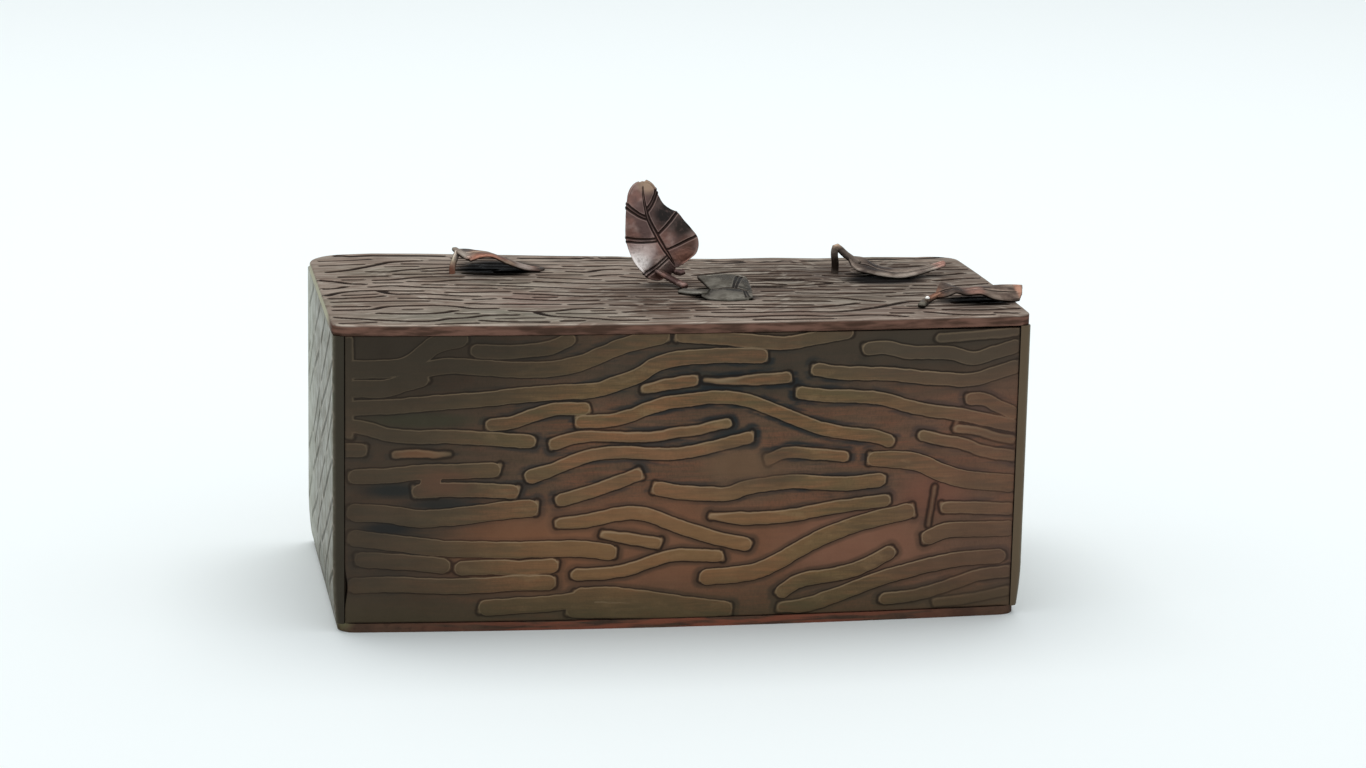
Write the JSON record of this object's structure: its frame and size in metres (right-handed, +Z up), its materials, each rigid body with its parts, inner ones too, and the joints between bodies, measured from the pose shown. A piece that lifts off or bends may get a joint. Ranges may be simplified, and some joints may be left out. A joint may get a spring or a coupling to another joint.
{
  "type": "keepsake box",
  "caption": "Small rectangular keepsake box of soldered copper sheet with an etched bark pattern and a loose lid that carries folded leaves, one of them standing up as the handle.",
  "frame": {"origin": "on the table under the middle of the base plate, which is the middle of the box between its ends and between the flat back and the front corners", "axes": "+X along the box to the right as seen from the front, +Y from the front to the back, +Z up"},
  "size_m": [0.1035, 0.0526, 0.0604],
  "materials": {
    "wall_copper": "etched and darkly patinated copper, brushed highlights",
    "lid_copper": "tooled and patinated copper, grey brown",
    "leaf_copper": "folded copper sheet with a thin patina",
    "base_copper": "patinated copper with a bare streak along the front edge",
    "rim_copper": "plain copper strip, dull"
  },
  "bodies": {
    "box": {"base_plate": "base_copper", "left_wall": "wall_copper", "right_wall": "wall_copper", "front_wall": "wall_copper", "back_wall": "wall_copper"},
    "lid": {"lid_plate": "lid_copper", "lid_rim_front": "rim_copper", "lid_rim_back": "rim_copper", "lid_rim_left": "rim_copper", "lid_rim_right": "rim_copper", "leaf_left": "leaf_copper", "leaf_upright": "leaf_copper", "leaf_centre": "leaf_copper", "leaf_back_right": "leaf_copper", "leaf_front_right": "leaf_copper"}
  },
  "joints": [
    {"name": "lid_lift", "type": "slide", "parent": "box", "child": "lid", "axis": [0, 0, 1], "range_m": [0, 0.06]}
  ]
}
